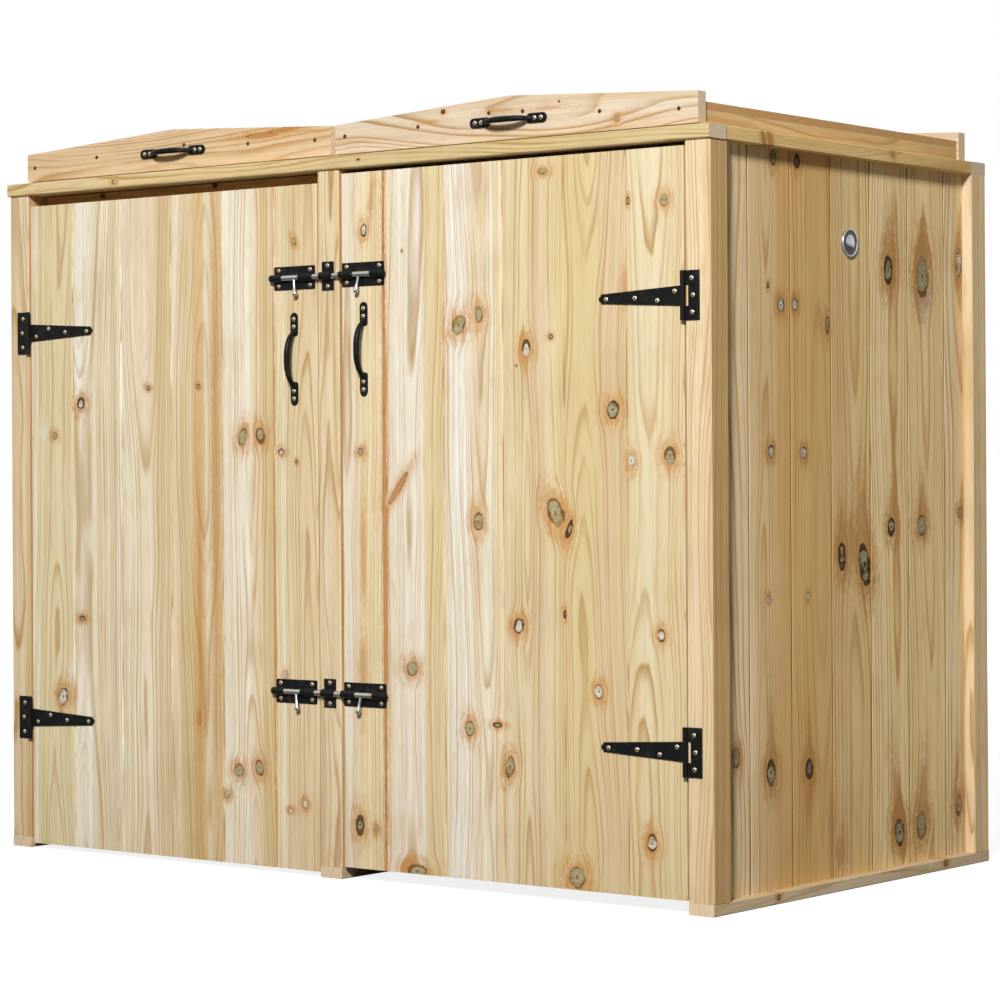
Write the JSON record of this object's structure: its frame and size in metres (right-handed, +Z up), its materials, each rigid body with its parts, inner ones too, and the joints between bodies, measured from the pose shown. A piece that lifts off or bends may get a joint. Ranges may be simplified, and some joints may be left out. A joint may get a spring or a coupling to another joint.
{
  "type": "wheelie bin store",
  "caption": "Softwood wheelie bin store with boarded swing doors on T-hinges, barrel bolts, pull handles and lift-up lids between gabled boards.",
  "frame": {"origin": "centre of the whole footprint, on the ground", "axes": "+X to the right seen from the front, +Y from the doors to the back, +Z up"},
  "size_m": [1.484, 0.8278, 1.226],
  "materials": {
    "frame_timber": "planed softwood, matt",
    "boards": "planed knotty softwood, matt",
    "black_steel": "black, semi-gloss",
    "zinc_steel": "bright zinc plate",
    "disc_metal": "polished"
  },
  "bodies": {
    "carcass": {"back_boards": "boards", "back_post_centre": "frame_timber", "back_post_left": "frame_timber", "back_post_right": "frame_timber", "bolt_keepers": "black_steel", "bottom_rail_centre": "frame_timber", "bottom_rail_left": "frame_timber", "bottom_rail_right": "frame_timber", "door_header": "frame_timber", "door_hinge_flanges": "black_steel", "front_post_centre": "frame_timber", "front_post_left": "frame_timber", "front_post_right": "frame_timber", "lid_hinge_fixed_leaves": "black_steel", "side_boards_left": "boards", "side_boards_right": "boards", "top_rail_back": "frame_timber", "top_rail_centre": "frame_timber", "top_rail_front": "frame_timber", "top_rail_left": "frame_timber", "top_rail_right": "frame_timber", "wall_battens": "frame_timber", "wall_disc": "disc_metal"},
    "door_left": {"bolt_plates_left": "black_steel", "door_boards_left": "boards", "door_brace_left": "frame_timber", "door_handle_left": "black_steel", "door_ledges_left": "frame_timber", "hinge_straps_left": "black_steel"},
    "lid_left": {"lid_battens_left": "frame_timber", "lid_boards_left": "boards", "lid_fascias_left": "boards", "lid_handle_left": "black_steel", "lid_hinge_leaves_left": "black_steel"},
    "rod_left_upper": {"bolt_rod_left_upper": "zinc_steel"},
    "knob_left_upper": {"bolt_knob_left_upper": "zinc_steel"},
    "rod_left_lower": {"bolt_rod_left_lower": "zinc_steel"},
    "knob_left_lower": {"bolt_knob_left_lower": "zinc_steel"},
    "door_right": {"bolt_plates_right": "black_steel", "door_boards_right": "boards", "door_brace_right": "frame_timber", "door_handle_right": "black_steel", "door_ledges_right": "frame_timber", "hinge_straps_right": "black_steel"},
    "lid_right": {"lid_battens_right": "frame_timber", "lid_boards_right": "boards", "lid_fascias_right": "boards", "lid_handle_right": "black_steel", "lid_hinge_leaves_right": "black_steel"},
    "rod_right_upper": {"bolt_rod_right_upper": "zinc_steel"},
    "knob_right_upper": {"bolt_knob_right_upper": "zinc_steel"},
    "rod_right_lower": {"bolt_rod_right_lower": "zinc_steel"},
    "knob_right_lower": {"bolt_knob_right_lower": "zinc_steel"}
  },
  "joints": [
    {"name": "door_left_hinge", "type": "hinge", "parent": "carcass", "child": "door_left", "pos_m": [-0.693, -0.39515, 0.56], "axis": [0, 0, -1], "range_deg": [0, 165]},
    {"name": "lid_left_hinge", "type": "hinge", "parent": "carcass", "child": "lid_left", "pos_m": [-0.3574, 0.40435, 1.1595], "axis": [-1, 0, 0], "range_deg": [0, 105]},
    {"name": "rod_left_upper_slide", "type": "slide", "parent": "door_left", "child": "rod_left_upper", "axis": [1, 0, 0], "range_m": [-0.018, 0.009]},
    {"name": "knob_left_upper_turn", "type": "hinge", "parent": "rod_left_upper", "child": "knob_left_upper", "pos_m": [-0.0695, -0.39615, 0.964], "axis": [-1, 0, 0], "range_deg": [-8, 172]},
    {"name": "rod_left_lower_slide", "type": "slide", "parent": "door_left", "child": "rod_left_lower", "axis": [1, 0, 0], "range_m": [-0.018, 0.009]},
    {"name": "knob_left_lower_turn", "type": "hinge", "parent": "rod_left_lower", "child": "knob_left_lower", "pos_m": [-0.0695, -0.39615, 0.296], "axis": [-1, 0, 0], "range_deg": [-8, 172]},
    {"name": "door_right_hinge", "type": "hinge", "parent": "carcass", "child": "door_right", "pos_m": [0.693, -0.39515, 0.56], "axis": [0, 0, 1], "range_deg": [0, 165]},
    {"name": "lid_right_hinge", "type": "hinge", "parent": "carcass", "child": "lid_right", "pos_m": [0.3574, 0.40435, 1.1595], "axis": [-1, 0, 0], "range_deg": [0, 105]},
    {"name": "rod_right_upper_slide", "type": "slide", "parent": "door_right", "child": "rod_right_upper", "axis": [-1, 0, 0], "range_m": [-0.018, 0.009]},
    {"name": "knob_right_upper_turn", "type": "hinge", "parent": "rod_right_upper", "child": "knob_right_upper", "pos_m": [0.0695, -0.39615, 0.964], "axis": [-1, 0, 0], "range_deg": [-8, 172]},
    {"name": "rod_right_lower_slide", "type": "slide", "parent": "door_right", "child": "rod_right_lower", "axis": [-1, 0, 0], "range_m": [-0.018, 0.009]},
    {"name": "knob_right_lower_turn", "type": "hinge", "parent": "rod_right_lower", "child": "knob_right_lower", "pos_m": [0.0695, -0.39615, 0.296], "axis": [-1, 0, 0], "range_deg": [-8, 172]}
  ]
}
